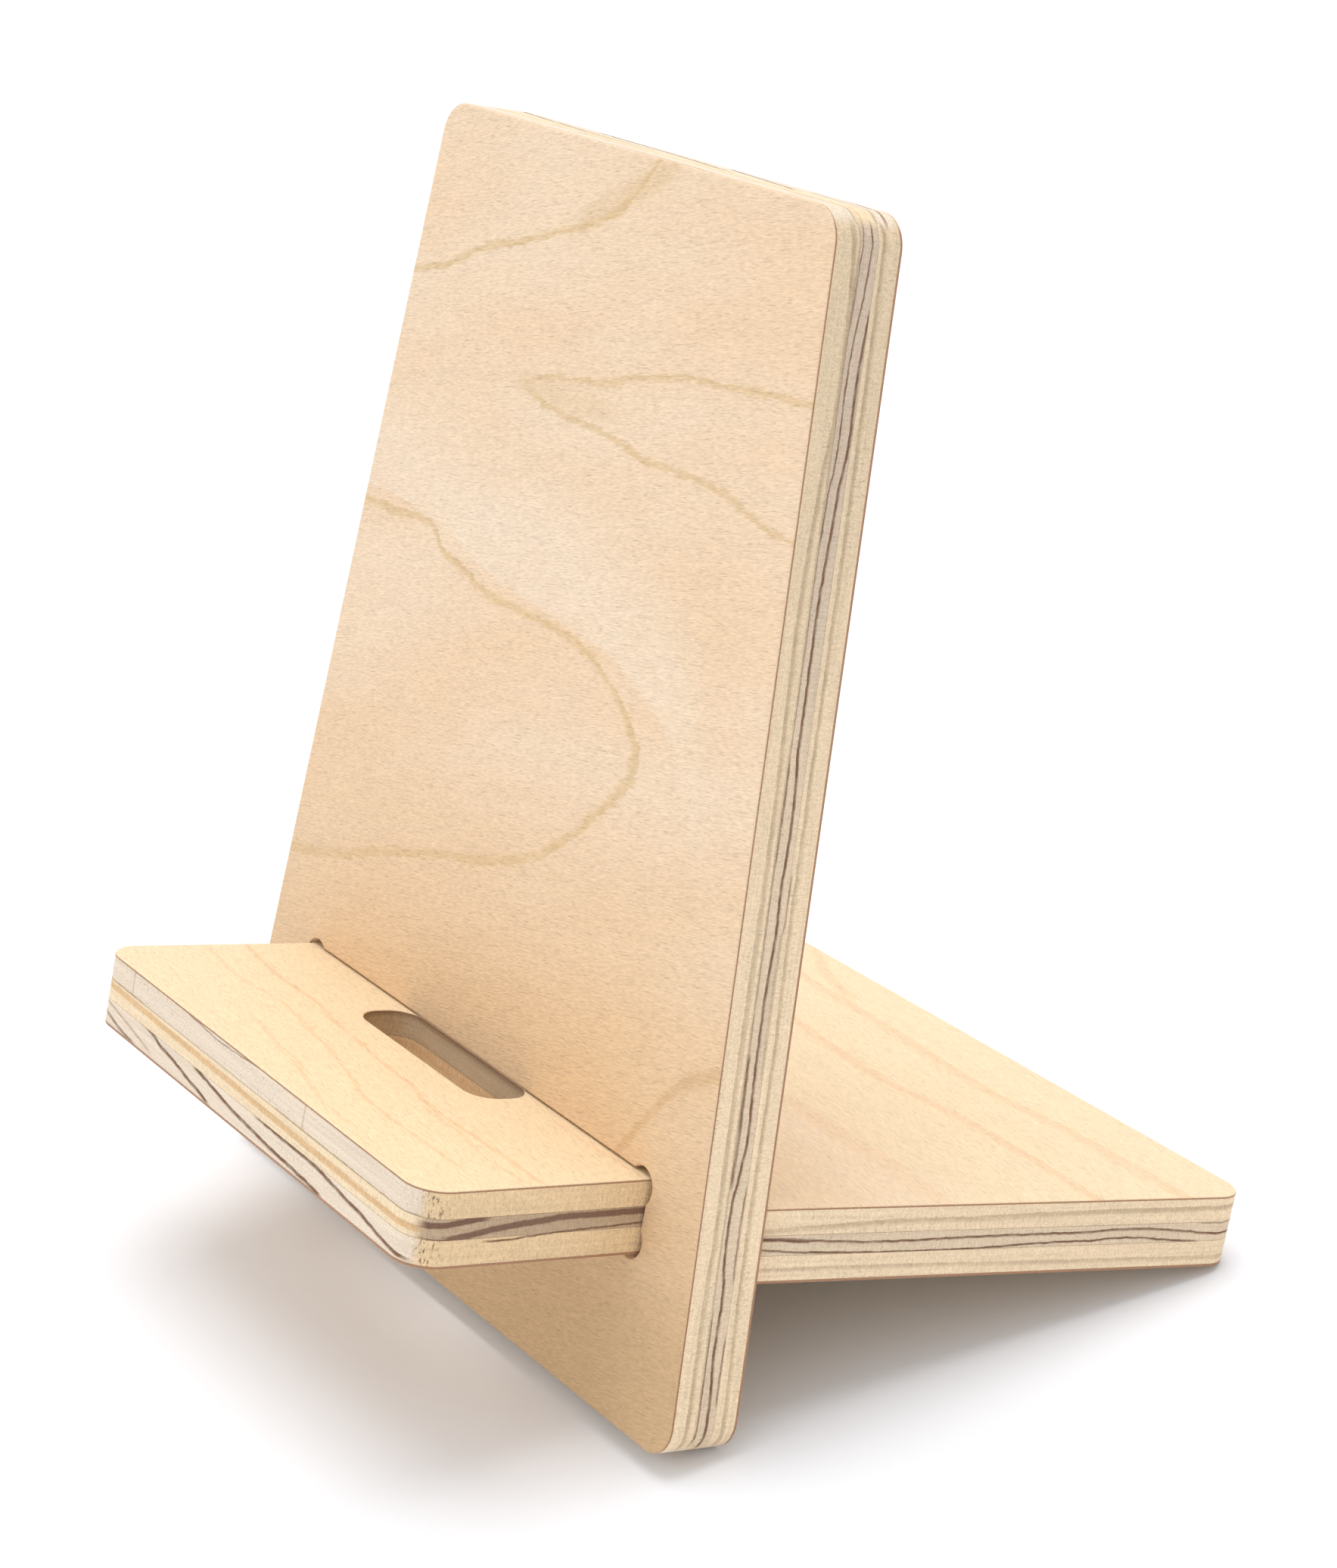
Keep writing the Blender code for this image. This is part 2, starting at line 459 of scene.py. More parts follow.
class Wood:
    """The finish of one ply. Its fields are the place on the board in millimetres (across, along,
    through), which way the surface faces, and whatever is worked out from those."""

    def __init__(self, name):
        self.material = bpy.data.materials.new(name)
        self.material.use_nodes = True
        self.tree = self.material.node_tree
        self.shader = self.tree.nodes["Principled BSDF"]
        self.place = self.node("ShaderNodeAttribute", {"attribute_name": "board_mm"}, {}, "Vector")
        facing = self.node("ShaderNodeAttribute", {"attribute_name": "facing"}, {}, "Vector")
        self.across, self.along, self.through = self.parts(self.place)
        sideways, lengthways, upward = self.parts(facing)
        self.side_edge = self.ramp(abs(sideways) - abs(lengthways), -EDGE_TURN, EDGE_TURN)
        self.on_face = self.ramp(abs(upward), *ARRIS)
        # How strongly a ring shows, from place to place.
        self.uneven = self.noise((2.6, 2.6, 1.0), 61.0, 3.0) * 0.35 + 0.95

    def node(self, kind, settings, sockets, output=0):
        """Adds a node: its settings first, then the value or link of each socket."""
        made = self.tree.nodes.new(kind)
        for name, value in settings.items():
            if name == "course":
                points = made.mapping.curves[0].points
                points[0].location = value[0]
                points[1].location = value[-1]
                for stop in value[1:-1]:
                    points.new(*stop)
                made.mapping.update()
            else:
                setattr(made, name, value)
        for name, value in sockets.items():
            if isinstance(value, Field):
                self.tree.links.new(value.socket, made.inputs[name])
            else:
                made.inputs[name].default_value = value
        return Field(self, made.outputs[output])

    def maths(self, operation, first, second):
        return self.node("ShaderNodeMath", {"operation": operation}, {0: first, 1: second})

    def parts(self, vector):
        split = self.node("ShaderNodeSeparateXYZ", {}, {"Vector": vector})
        outputs = split.socket.node.outputs
        return [Field(self, outputs[axis]) for axis in "XYZ"]

    def ramp(self, value, start, end):
        """Rises smoothly from 0 at start to 1 at end, which may be the lower of the two."""
        ends = {"Value": value, "From Min": start, "From Max": end}
        return self.node("ShaderNodeMapRange", {"interpolation_type": "SMOOTHSTEP"}, ends)

    def between(self, value, low, high, fade):
        return self.ramp(value, low - fade, low + fade) * self.ramp(value, high + fade, high - fade)

    def course(self, run, stops):
        """The level, in millimetres, of a smooth curve through (run, level) stops at this run."""
        runs, levels = np.array(stops).T
        low, span = levels.min() - 1, np.ptp(levels) + 2
        across = (runs - runs[0]) / (runs[-1] - runs[0])
        points = np.stack([across, (levels - low) / span], 1).tolist()
        share = (run - float(runs[0])) * float(1 / (runs[-1] - runs[0]))
        drawn = self.node("ShaderNodeFloatCurve", {"course": points}, {"Value": share})
        return drawn * float(span) + float(low)

    def noise(self, cell, seed, detail=2.0):
        """Noise of about -1 to 1, with cells of the given size in millimetres."""
        scaled = self.node("ShaderNodeVectorMath", {"operation": "MULTIPLY_ADD"}, {
            0: self.place, 1: tuple(1 / size for size in cell), 2: (seed, seed * 1.7, seed * 2.3)})
        found = self.node("ShaderNodeTexNoise", {}, {"Vector": scaled, "Scale": 1.0, "Detail": detail})
        return found * (2 * NOISE_REACH) - NOISE_REACH

    def blend(self, under, over, share):
        return self.node("ShaderNodeMix", {"data_type": "RGBA"}, {0: share, 6: under, 7: over}, 2)

    def shade(self, colour, amount):
        """A colour made lighter or darker: scaled by one plus the amount."""
        scaled = {0: colour, "Scale": amount + 1.0}
        return self.node("ShaderNodeVectorMath", {"operation": "SCALE"}, scaled)

    def done(self, colour, roughness, height, depth):
        """Joins the colour, roughness and relief to the shader. Depth is the relief's, in metres."""
        relief = {"Height": height, "Strength": 1.0, "Distance": depth}
        bump = self.node("ShaderNodeBump", {}, relief, "Normal")
        for name, value in {"Base Color": colour, "Roughness": roughness, "Normal": bump}.items():
            self.tree.links.new(value.socket, self.shader.inputs[name])
        self.shader.inputs["Specular IOR Level"].default_value = SPECULAR_LEVEL
        return self.material


# Colours of birch, and of painted shade on it, as linear light.
PALE_FACE = (0.845, 0.665, 0.485, 1.0)
PINK_FACE = (0.825, 0.605, 0.400, 1.0)
GREY_FACE = (0.850, 0.690, 0.520, 1.0)
# Tawny: partly the wood's own tone, partly painted shade at the upright's foot and beside the upright.
TAWNY_TONE_AND_SHADE = (0.745, 0.515, 0.298, 1.0)
# Painted shade: the shelf's shadow on the upright's face below it.
UNDER_SHELF_SHADE = (0.570, 0.385, 0.205, 1.0)
CREAM_FACE = (0.850, 0.672, 0.440, 1.0)
OLIVE_RING = (0.660, 0.460, 0.225, 1.0)
PINK_RING = (0.800, 0.520, 0.305, 1.0)
AMBER_RING = (0.590, 0.360, 0.165, 1.0)
VENEER_EDGE = (0.330, 0.140, 0.068, 1.0)
LONG_GRAIN = (0.890, 0.695, 0.470, 1.0)
TONGUE_GRAIN = (0.820, 0.600, 0.355, 1.0)
END_GRAIN = (0.810, 0.680, 0.535, 1.0)
HOLE_BROWN = (0.530, 0.375, 0.215, 1.0)
HOLE_CORE_BROWN = (0.750, 0.480, 0.245, 1.0)
CORE_END = (0.760, 0.600, 0.425, 1.0)
GREY_CORE = (0.640, 0.510, 0.385, 1.0)
TONGUE_CORE = (0.530, 0.385, 0.250, 1.0)
CORE_LONG = (0.880, 0.700, 0.470, 1.0)
CORE_BAND = (0.690, 0.430, 0.205, 1.0)
SOFT_RING = (0.430, 0.305, 0.180, 1.0)
DARK_RING = (0.200, 0.104, 0.055, 1.0)
PURPLE_BAND = (0.170, 0.080, 0.050, 1.0)
FLECK = (0.880, 0.760, 0.560, 1.0)

# A line of the wood's figure: its (run, level) stops in millimetres, how far it fades above and
# below its course, its colour, how strong it is, and over how far it fades at its two ends.
Line = namedtuple("Line", "stops above below colour strength fade", defaults=[1.2])

# The upright's front face: across the board, and up it.
FRONT_FIGURE = [
    Line([(-70, 117), (-45, 118), (-33, 117), (-20, 113), (0, 111.5), (20, 109), (44, 94)],
         22.0, 1.5, GREY_FACE, 0.75, 14.0),
    Line([(-62, 152.8), (-49, 155.2), (-43, 157.2), (-37, 160.1), (-32, 161.7), (-24.6, 163.5),
          (-12, 167.8), (0, 172.1), (3.7, 175.1), (6.2, 178.2), (10, 183)],
         1.3, 0.6, OLIVE_RING, 0.65, 3.0),
    Line([(-10, 169), (0, 174), (8, 178.5), (14, 183)], 3.5, 3.5, OLIVE_RING, 0.4, 5.0),
    Line([(-16, 143.3), (-9.8, 145.2), (0, 146.5), (6.2, 147.7), (12.3, 149.9), (18.5, 151.3),
          (24.6, 152.6), (37, 153.5), (60, 155.4)], 0.5, 1.1, OLIVE_RING, 0.6, 4.0),
    Line([(-16, 142), (-6, 140.4), (0, 140.4), (12.3, 139.1), (24.6, 138.4), (37, 138.4),
          (46.7, 136.4), (60, 135.3)], 1.1, 0.5, OLIVE_RING, 0.6, 4.0),
    Line([(-19, 142.6), (-8, 142.8), (8, 143.2)], 2.6, 2.6, OLIVE_RING, 0.3, 5.0),
    Line([(-66, 114.6), (-49, 115.1), (-39.4, 116.2), (-35.7, 115.1), (-32, 112.3), (-24.6, 111),
          (-18.5, 109.3), (-12.3, 108.9), (0, 109.2), (6.2, 108.9), (15, 107.3)],
         0.6, 1.6, OLIVE_RING, 0.62, 3.0),
    Line([(-70, 51), (-49, 54.9), (-37, 59.2), (-24.6, 62.9), (-12.3, 66.3), (0, 69.6),
          (6.2, 72), (15, 77.8)], 2.0, 0.6, OLIVE_RING, 0.55, 3.0),
    Line([(42, 37), (44.3, 40.3), (46.7, 43.9), (49.2, 47), (51.7, 50), (54.1, 53.1), (59, 56.7),
          (70, 60)], 1.6, 2.4, AMBER_RING, 0.42, 2.5),
]
# The nose of its widest ring: up the board, and across it.
FRONT_NOSE = Line([(75.7, 12.3), (80.5, 18.5), (86, 24.6), (90.3, 28.3), (94.6, 31.1), (98.9, 28.9),
                   (102.5, 24.6), (105.6, 18.5), (107.8, 12.3)], 0.8, 3.0, OLIVE_RING, 0.6, 1.5)

# The cross board's top face: across the board, and rearwards along it.
TOP_FIGURE = [
    Line([(-52, -25.0), (-49, -25.4), (-37, -26.6), (-24.6, -26.6), (-12.3, -28.4), (0, -29),
          (14.8, -29.6), (21, -31.2), (37, -30.8), (52, -30.2)], 0.5, 0.8, PINK_RING, 0.7),
    Line([(-52, -33.2), (-49, -33.2), (-37, -34.2), (-24.6, -33.2), (-12.3, -34.4), (0, -36.3),
          (9.8, -38.1), (18.5, -40.3), (31, -40.2), (45, -39.9)], 0.8, 0.5, PINK_RING, 0.5),
    Line([(-18.5, -40.9), (-6.2, -42.9), (2.5, -44.1), (9.8, -45.9), (18.5, -47.8),
          (26, -48.4)], 0.6, 0.6, PINK_RING, 0.5),
    Line([(20.9, -32.9), (31, -32.6), (43, -33.6), (52, -32.6)], 0.6, 0.6, PINK_RING, 0.35),
    Line([(30, -14.5), (40, -13.6), (52, -12.7)], 0.6, 0.6, PINK_RING, 0.4),
    Line([(-30, 63), (-6, 60.2), (6, 59), (18.5, 58.6), (31, 60.2), (43, 61.4), (90, 60.6)],
         1.0, 3.0, PINK_RING, 0.55, 6.0),
    Line([(-45, 80), (-25, 78), (6, 76.8), (18.5, 75.6), (37, 76.8), (61.5, 78.6), (90, 77.8)],
         1.0, 3.5, PINK_RING, 0.5, 8.0),
    Line([(-50, 94), (-43, 90), (-31, 84), (-18, 80)], 1.2, 2.5, PINK_RING, 0.45, 4.0),
    Line([(-70, 40), (-30, 36), (10, 33), (45, 34), (80, 31)], 2.0, 5.0, PINK_RING, 0.3, 10.0),
]

# Side edges: along the board, and through it.
UPRIGHT_FRONT_SIDE = [
    Line([(0, 9.4), (12, 9.35), (24, 9.4), (36.6, 9.1), (49, 9.17), (73, 9.17), (91.5, 9.05),
          (104, 9.17), (116, 9.47), (126, 9.6), (134, 9.4), (144, 8.92), (150, 8.38), (156, 8.02),
          (162, 8.02), (168, 8.14), (174.5, 8.7), (182, 9.1)], 0.15, 1.2, SOFT_RING, 0.55),
    Line([(0, 7.5), (90, 7.5), (182, 7.5)], 0.4, 0.1, SOFT_RING, 0.5),
]
UPRIGHT_CORE_SIDE = [
    Line([(0, 5.7), (3.7, 5.73), (9.8, 5.79), (14.6, 6.15), (18.3, 6.27), (24.4, 6.09), (29.3, 6.51),
          (34.2, 6.81), (39, 6.75), (42.7, 6.27), (46.4, 5.85), (50, 5.55), (55, 5.79), (61, 5.91),
          (69.6, 5.97), (75.7, 5.79), (80.5, 5.61), (85.4, 5.79), (94, 5.55), (101.3, 5.79),
          (106.2, 6.15), (116, 6.21), (125.7, 6.27), (131.8, 6.03), (138, 5.73), (142.8, 5.55),
          (146.4, 5.13), (151.3, 4.82), (156.2, 4.94), (161, 4.82), (166, 4.52), (168.4, 4.35)],
         0.23, 0.56, DARK_RING, 1.0),
    Line([(136, 7.4), (142.8, 7.18), (146.4, 6.75), (150, 6.57), (156.2, 6.69), (161, 6.63),
          (167.2, 6.15), (170.9, 5.73), (182, 5.4)], 0.15, 0.34, DARK_RING, 0.9),
    Line([(166, 7.4), (173, 7.2), (182, 6.9)], 0.14, 0.3, DARK_RING, 0.7),
    Line([(3, 7.3), (12, 7.3), (23, 7.35)], 0.25, 0.25, DARK_RING, 0.75),
    Line([(42, 7.35), (49, 7.1), (54, 7.2), (62, 7.3)], 0.4, 0.5, DARK_RING, 0.8),
    Line([(90, 7.32), (97, 7.25), (105, 7.35)], 0.3, 0.3, DARK_RING, 0.8),
    Line([(62, 7.36), (76, 7.33), (90, 7.36)], 0.2, 0.16, DARK_RING, 0.5),
    Line([(105, 7.36), (120, 7.36), (137, 7.36)], 0.2, 0.16, DARK_RING, 0.5),
    Line([(9, 4.45), (13, 4.5), (19, 4.42)], 0.25, 0.25, DARK_RING, 0.7),
    Line([(28, 4.48), (33, 4.58), (42, 4.4)], 0.25, 0.25, DARK_RING, 0.7),
    Line([(58, 4.5), (68, 4.6), (80, 4.5)], 0.5, 0.3, SOFT_RING, 0.5),
]
UPRIGHT_REAR_SIDE = [
    Line([(0, 2.6), (12, 2.9), (24, 3.2), (36.6, 3.26), (49, 3.14), (61, 3.0), (73, 3.26), (91.5, 3.38),
          (122, 3.32), (146, 3.26), (165, 3.38), (182, 3.5)], 0.14, 0.9, SOFT_RING, 0.6),
    Line([(80, 4.12), (84, 4.1), (88, 4.14)], 0.2, 0.2, DARK_RING, 0.75),
]
CROSS_UPPER_SIDE = [
    Line([(0, 8.65), (2.5, 8.72), (6, 8.9), (12.3, 9.2), (18.4, 9.5), (24.6, 9.7), (37, 9.8),
          (49, 10.07), (61.5, 10.3), (74, 10.3), (92, 10.4)], 0.14, 1.2, SOFT_RING, 0.55),
]
CROSS_CORE_SIDE = [
    Line([(0, 7.2), (3.7, 7.0), (6, 6.77), (12.3, 6.65), (18.4, 6.34), (24.6, 6.28), (30.7, 6.4),
          (37, 6.53), (49, 6.65), (61.5, 6.77), (65, 7.0), (69, 7.0), (74, 6.77), (80, 6.28),
          (83.6, 5.9), (92, 5.7)], 0.17, 0.48, DARK_RING, 0.95),
    Line([(-1, 7.1), (3, 7.0), (9, 6.7)], 0.5, 0.5, PURPLE_BAND, 0.8),
    Line([(0, 5.49), (3.7, 5.25), (6, 5.0), (12.3, 4.8), (18.4, 4.62), (24.6, 4.55), (29.5, 4.53),
          (37, 4.62), (43, 4.75), (49, 5.06), (55, 5.2), (61.5, 5.25), (65, 5.5), (69, 5.5),
          (74, 5.12), (78.7, 4.75), (82, 4.5)], 0.17, 0.38, DARK_RING, 1.0),
    Line([(82, 7.55), (86, 7.5), (92, 7.4)], 0.2, 0.2, DARK_RING, 0.6),
    Line([(-39, 3.9), (-33.7, 4.03), (-30, 4.33), (-26.3, 4.58), (-21.4, 4.76), (-16.5, 4.94),
          (-10, 5.3)], 0.20, 0.30, DARK_RING, 0.95),
    Line([(-52, 4.85), (-49, 4.6), (-45, 4.55)], 0.2, 0.2, DARK_RING, 0.75),
]
CROSS_BANDS = [
    Line([(-54, 6.75), (-47.2, 6.7), (-44.7, 6.95), (-42.3, 7.25), (-39, 7.6)],
         0.48, 0.16, PURPLE_BAND, 0.9),
    Line([(-46, 4.5), (-44.7, 4.64), (-41, 5.12), (-38.6, 5.6), (-35.5, 5.98), (-32.5, 6.28),
          (-28.8, 6.59), (-26.3, 6.85), (-20, 6.95), (-10, 7.0)], 0.52, 0.18, PURPLE_BAND, 0.85),
]
CROSS_LOWER_SIDE = [
    Line([(0, 2.38), (24.6, 2.38), (43, 2.13), (61.5, 2.0), (92, 1.85)], 0.2, 0.9, SOFT_RING, 0.45),
    Line([(-39, 3.9), (-33.7, 4.03), (-30, 4.33), (-26.3, 4.58), (-21.4, 4.76), (-16.5, 4.94),
          (-10, 5.3)], 0.20, 0.30, DARK_RING, 0.95),
]

# End edges: across the board, and through it.
UPPER_END = [
    Line([(-27, 11.85), (-21.5, 11.75), (-17, 11.5), (-11, 11.2), (-6.2, 11.3), (-2.5, 11.5),
          (1.2, 11.75), (5, 11.9)], 0.12, 0.3, DARK_RING, 0.7),
    Line([(-54, 7.85), (-43, 7.8), (-36, 7.75)], 0.3, 0.3, SOFT_RING, 0.7),
    Line([(9, 7.75), (30, 7.75), (54, 7.75)], 0.25, 0.25, SOFT_RING, 0.8),
    Line([(-36, 7.75), (-10, 7.75), (10, 7.75)], 0.2, 0.2, SOFT_RING, 0.4),
]
LOWER_END = [
    Line([(-35.7, 4.8), (-32, 4.4), (-28.3, 3.42), (-24.6, 3.05), (-22, 2.62), (-18.5, 1.95),
          (-14.8, 1.4), (-11, 0.7)], 0.34, 0.62, DARK_RING, 1.0),
    Line([(-17, 4.51), (-14.8, 4.27), (-9.8, 3.54), (-4.9, 2.87), (-1.2, 2.44), (4.9, 1.95), (9.8, 1.59),
          (14.8, 1.34), (19.7, 1.1), (25.8, 0.6)], 0.34, 0.62, DARK_RING, 1.0),
    Line([(4, 4.5), (12.3, 4.42), (19.7, 4.3), (24.6, 4.1), (29.5, 3.54), (33.2, 3.11), (37, 2.81),
          (40.6, 2.2), (44.3, 1.65), (50, 1.0)], 0.34, 0.62, DARK_RING, 1.0),
    Line([(-54, 2.5), (-48, 2.07), (-43, 1.1), (-38, 0.6)], 0.32, 0.55, DARK_RING, 0.75),
    Line([(-54, 4.2), (-48, 3.9), (-40.6, 2.8), (-32, 1.22)], 0.26, 0.5, SOFT_RING, 0.7),
]
CORE_END_BAND = Line([(-76, 6.95), (-54, 6.9), (-43, 6.83), (-24.6, 6.6), (-6, 6.4), (12.3, 6.1),
                      (43, 5.86), (54, 5.8), (76, 5.75)], 0.5, 0.2, CORE_BAND, 0.8)
# How strong that band is on the upright.
FAINT_BAND = 0.35


# How much of a ring's width, on either side, is at its full strength.
CREST = 0.25


def ring(wood, run, level, line):
    """How strongly a line shows at a run and level: it fades out above and below the smooth curve
    through its stops, and past its first and last stop."""
    away = level - wood.course(run, line.stops)
    top = wood.ramp(away, line.above, line.above * CREST)
    mask = top * wood.ramp(away, -line.below, -line.below * CREST)
    first, last = line.stops[0][0], line.stops[-1][0]
    return mask * wood.between(run, first, last, line.fade) * wood.uneven * line.strength


def band(wood, run, level, line):
    """As a ring, but of even colour for `above` millimetres on both sides, with soft margins."""
    away = abs(level - wood.course(run, line.stops))
    mask = wood.ramp(away, line.above + line.below, line.above - line.below)
    first, last = line.stops[0][0], line.stops[-1][0]
    return mask * wood.between(run, first, last, line.fade) * line.strength


def drawn(wood, colour, run, level, lines, shape=ring):
    """A colour with the lines drawn over it, one after another."""
    for line in lines:
        colour = wood.blend(colour, line.colour, shape(wood, run, level, line))
    return colour


def veneer(name, outer_level, figure, nose, turned, slope, tone_and_shade_of, end_glue=GLUE_EDGE):
    """A face veneer, its grain across the board: long soft fibres, short dark pores, slow changes
    between pale and pink, and the rings of its figure. Its thin edge reddens at the glue line."""
    wood = Wood(name)
    across, along = (wood.across * -1.0, turned - wood.along) if turned else (wood.across, wood.along)
    wood.place = wood.node("ShaderNodeCombineXYZ", {}, {
        "X": wood.across, "Y": wood.along - wood.across * slope, "Z": wood.through})
    steps = wood.noise((3.2, 0.7, 0.7), 3.0, 1.0) * 0.55 + wood.noise((14.0, 5.0, 5.0), 7.0, 1.0) * 0.5
    steps = steps + wood.noise((1.2, 0.25, 0.25), 9.0, 1.0) * 0.28
    fibre = wood.noise((6.0, 0.32, 0.32), 11.0, 3.0)
    fine = wood.noise((1.3, 0.17, 0.17), 19.0, 1.0)
    cloud = wood.noise((60.0, 19.0, 19.0), 27.0, 3.0)
    tone = wood.noise((22.0, 3.5, 3.5), 35.0, 3.0)
    pores = wood.ramp(wood.noise((1.6, 0.17, 0.17), 43.0, 0.0), 0.5, 1.0)
    colour = wood.blend(PALE_FACE, PINK_FACE, wood.ramp(cloud, -0.9, 0.7))
    # The board's own tone; on the upright's front and on the cross board's top it adds painted shade
    # too.
    colour = tone_and_shade_of(wood, colour)
    colour = drawn(wood, colour, across, along + steps, figure)
    if nose:
        colour = drawn(wood, colour, along, across + steps * 1.6, [nose])
    grain = fibre * 0.048 + fine * 0.16 + tone * 0.022 - pores * 0.13
    colour = wood.shade(colour, grain)
    start = UPPER_GLUE_START if outer_level else LOWER_GLUE_START
    glue = wood.ramp(abs(wood.through - outer_level), start, start + GLUE_MARGIN)
    mottle = wood.noise((0.5, 0.5, 0.2), 51.0) * 0.15
    glue = glue * (wood.side_edge * (GLUE_EDGE - end_glue) + end_glue)
    edge = wood.shade(wood.blend(colour, VENEER_EDGE, glue), mottle)
    colour = wood.blend(edge, colour, wood.on_face)
    roughness = FACE_ROUGHNESS + fibre * 0.03 + pores * 0.1
    return wood.done(colour, roughness, fibre * 0.5 + fine * 0.6 - pores * 0.9, FACE_RELIEF)


def edge_runs(wood, mirror):
    """Where each edge's figure is read: along the board on a side edge, across it on an end edge,
    and turned round on the left and rear edges, so that no two edges are alike."""
    left = wood.ramp(wood.across, 0.0, -4.0)
    side = wood.along + left * (mirror - wood.along - wood.along)
    rear = wood.ramp(wood.along, 5.0, 20.0)
    end = wood.across * (1.0 - rear * 2.0)
    return side, end


def brown_and_shade_hole(wood, colour, hole_colour):
    """The walls of the cable hole are browner, and painted shade makes them darker still just under
    the face.
    """
    stop, start = HOLE_HALF_WIDTH + HOLE_BROWN_STOP, HOLE_HALF_WIDTH + HOLE_BROWN_START
    inside_hole = wood.between(wood.along, HOLE_FRONT - HOLE_BROWN_REACH, HOLE_REAR + HOLE_BROWN_REACH, 0.5)
    inside_hole = inside_hole * wood.ramp(abs(wood.across), stop, start)
    colour = wood.blend(colour, hole_colour, inside_hole * 0.85)
    # Painted shade: darker just under the top face, where the hole's rim shades its walls.
    dark = inside_hole * wood.ramp(wood.through, *HOLE_SHADE_LEVELS) * 0.6
    return wood.blend(colour, DARK_RING, dark)


def crossband(name, mirror, side_lines, end_lines, torn, cracks):
    """A thick inner ply, its grain along the board: long grain on the side edges, pinkish end grain
    on the ends. The saw leaves fine marks through the ply, and flecks where it lifts the fibres."""
    wood = Wood(name)
    side, end = edge_runs(wood, mirror)
    waver = wood.noise((2.0, 2.0, 3.0), 5.0, 4.0)
    marks = wood.noise((0.28, 0.28, 1.4), 13.0, 2.0) * wood.side_edge
    speckle = wood.noise((0.34, 0.34, 0.30), 21.0, 3.0)
    streak = wood.noise((20.0, 18.0, 0.5), 29.0, 3.0)
    lifted = wood.ramp(wood.noise((0.32, 0.32, 0.8), 37.0, 1.0), 0.42, 0.75)
    lifted = lifted * wood.ramp(wood.noise((30.0, 24.0, 3.5), 45.0, 1.0), -0.2, 0.5)
    level = wood.through + waver * 0.13
    plain = LONG_GRAIN
    if torn:
        plain = wood.blend(LONG_GRAIN, TONGUE_GRAIN, wood.ramp(wood.along, 6.0, -10.0))
    long_grain = drawn(wood, plain, side, level, side_lines)
    long_grain = wood.blend(long_grain, FLECK, lifted * 0.6)
    end_grain = drawn(wood, END_GRAIN, end, level, end_lines)
    if cracks:
        for place in CRACK_PLACES:
            crack = wood.ramp(abs(end - place + waver * 0.15), 0.5, 0.0)
            end_grain = wood.blend(end_grain, SOFT_RING, crack * 0.45)
    colour = wood.blend(end_grain, long_grain, wood.side_edge)
    if torn:
        pits = wood.ramp(wood.noise((0.32, 0.32, 0.8), 53.0, 1.0), 0.2, 0.6)
        pits = pits * wood.side_edge * wood.ramp(wood.along, *PITTED_CORNER)
        colour = brown_and_shade_hole(wood, wood.blend(colour, DARK_RING, pits * 0.75), HOLE_BROWN)
        marks = marks - pits * 2.0
    else:
        # Painted shade: the upright's side edges turn darker towards its top.
        colour = wood.shade(colour, wood.ramp(wood.along, 50.0, 175.0) * wood.side_edge * -0.14)
    grain = marks * 0.11 + speckle * 0.20 + streak * 0.11
    colour = wood.shade(colour, grain)
    relief = marks * 0.6 + speckle * 0.6 + lifted * 1.5
    return wood.done(colour, CROSSBAND_ROUGHNESS + speckle * 0.05, relief, EDGE_RELIEF)


def core(name, mirror, side_lines, side_bands, end_band):
    """The middle ply, its grain across the board: grey end grain with dark rings on the side
    edges, cream long grain with an orange band on the ends."""
    wood = Wood(name)
    side, end = edge_runs(wood, mirror)
    waver = wood.noise((1.6, 1.6, 3.0), 7.0, 2.0)
    marks = wood.noise((0.3, 0.3, 1.6), 15.0, 2.0)
    speckle = wood.noise((0.28, 0.28, 0.28), 23.0, 2.0)
    streak = wood.noise((14.0, 18.0, 0.35), 31.0, 3.0)
    pits = wood.ramp(wood.noise((0.35, 0.35, 0.35), 39.0, 0.0), 0.75, 1.0)
    level = wood.through + waver * 0.10
    if side_bands:
        plain = wood.blend(CORE_END, TONGUE_CORE, wood.ramp(wood.along, 6.0, -8.0))
    else:
        plain = wood.blend(CORE_END, GREY_CORE, wood.ramp(wood.along, 85.0, 150.0))
    end_grain = drawn(wood, plain, side, level, side_bands, band)
    end_grain = drawn(wood, end_grain, side, level, side_lines)
    end_grain = wood.blend(end_grain, DARK_RING, pits * 0.35)
    long_grain = wood.blend(CORE_LONG, CORE_BAND, band(wood, end, level + streak * 0.12, end_band))
    long_grain = wood.shade(long_grain, streak * 0.04)
    colour = wood.blend(long_grain, end_grain, wood.side_edge)
    if side_bands:
        colour = brown_and_shade_hole(wood, colour, HOLE_CORE_BROWN)
    colour = wood.shade(colour, marks * 0.13 + speckle * 0.16 + streak * 0.10)
    return wood.done(colour, CORE_ROUGHNESS + speckle * 0.05, marks * 0.6 + speckle * 0.6, EDGE_RELIEF)


# --- The stand's ten plies ---------------------------------------------------------------------------

mounts = {mount["name"]: Vector(mount["axis"]) for mount in frame["record"]["mounts"]}
up_the_upright = mounts["phone_shelf"]
out_of_its_face = mounts["back_rest"]
upright = Board("back_board", up_the_upright, out_of_its_face,
                upright_outline(), slot_outline(), 0.0, "back_rear_veneer")
cross = Board("base_board", -out_of_its_face, up_the_upright,
              cross_outline(), hole_outline(), -SHELF_REACH, "base_bottom_veneer")


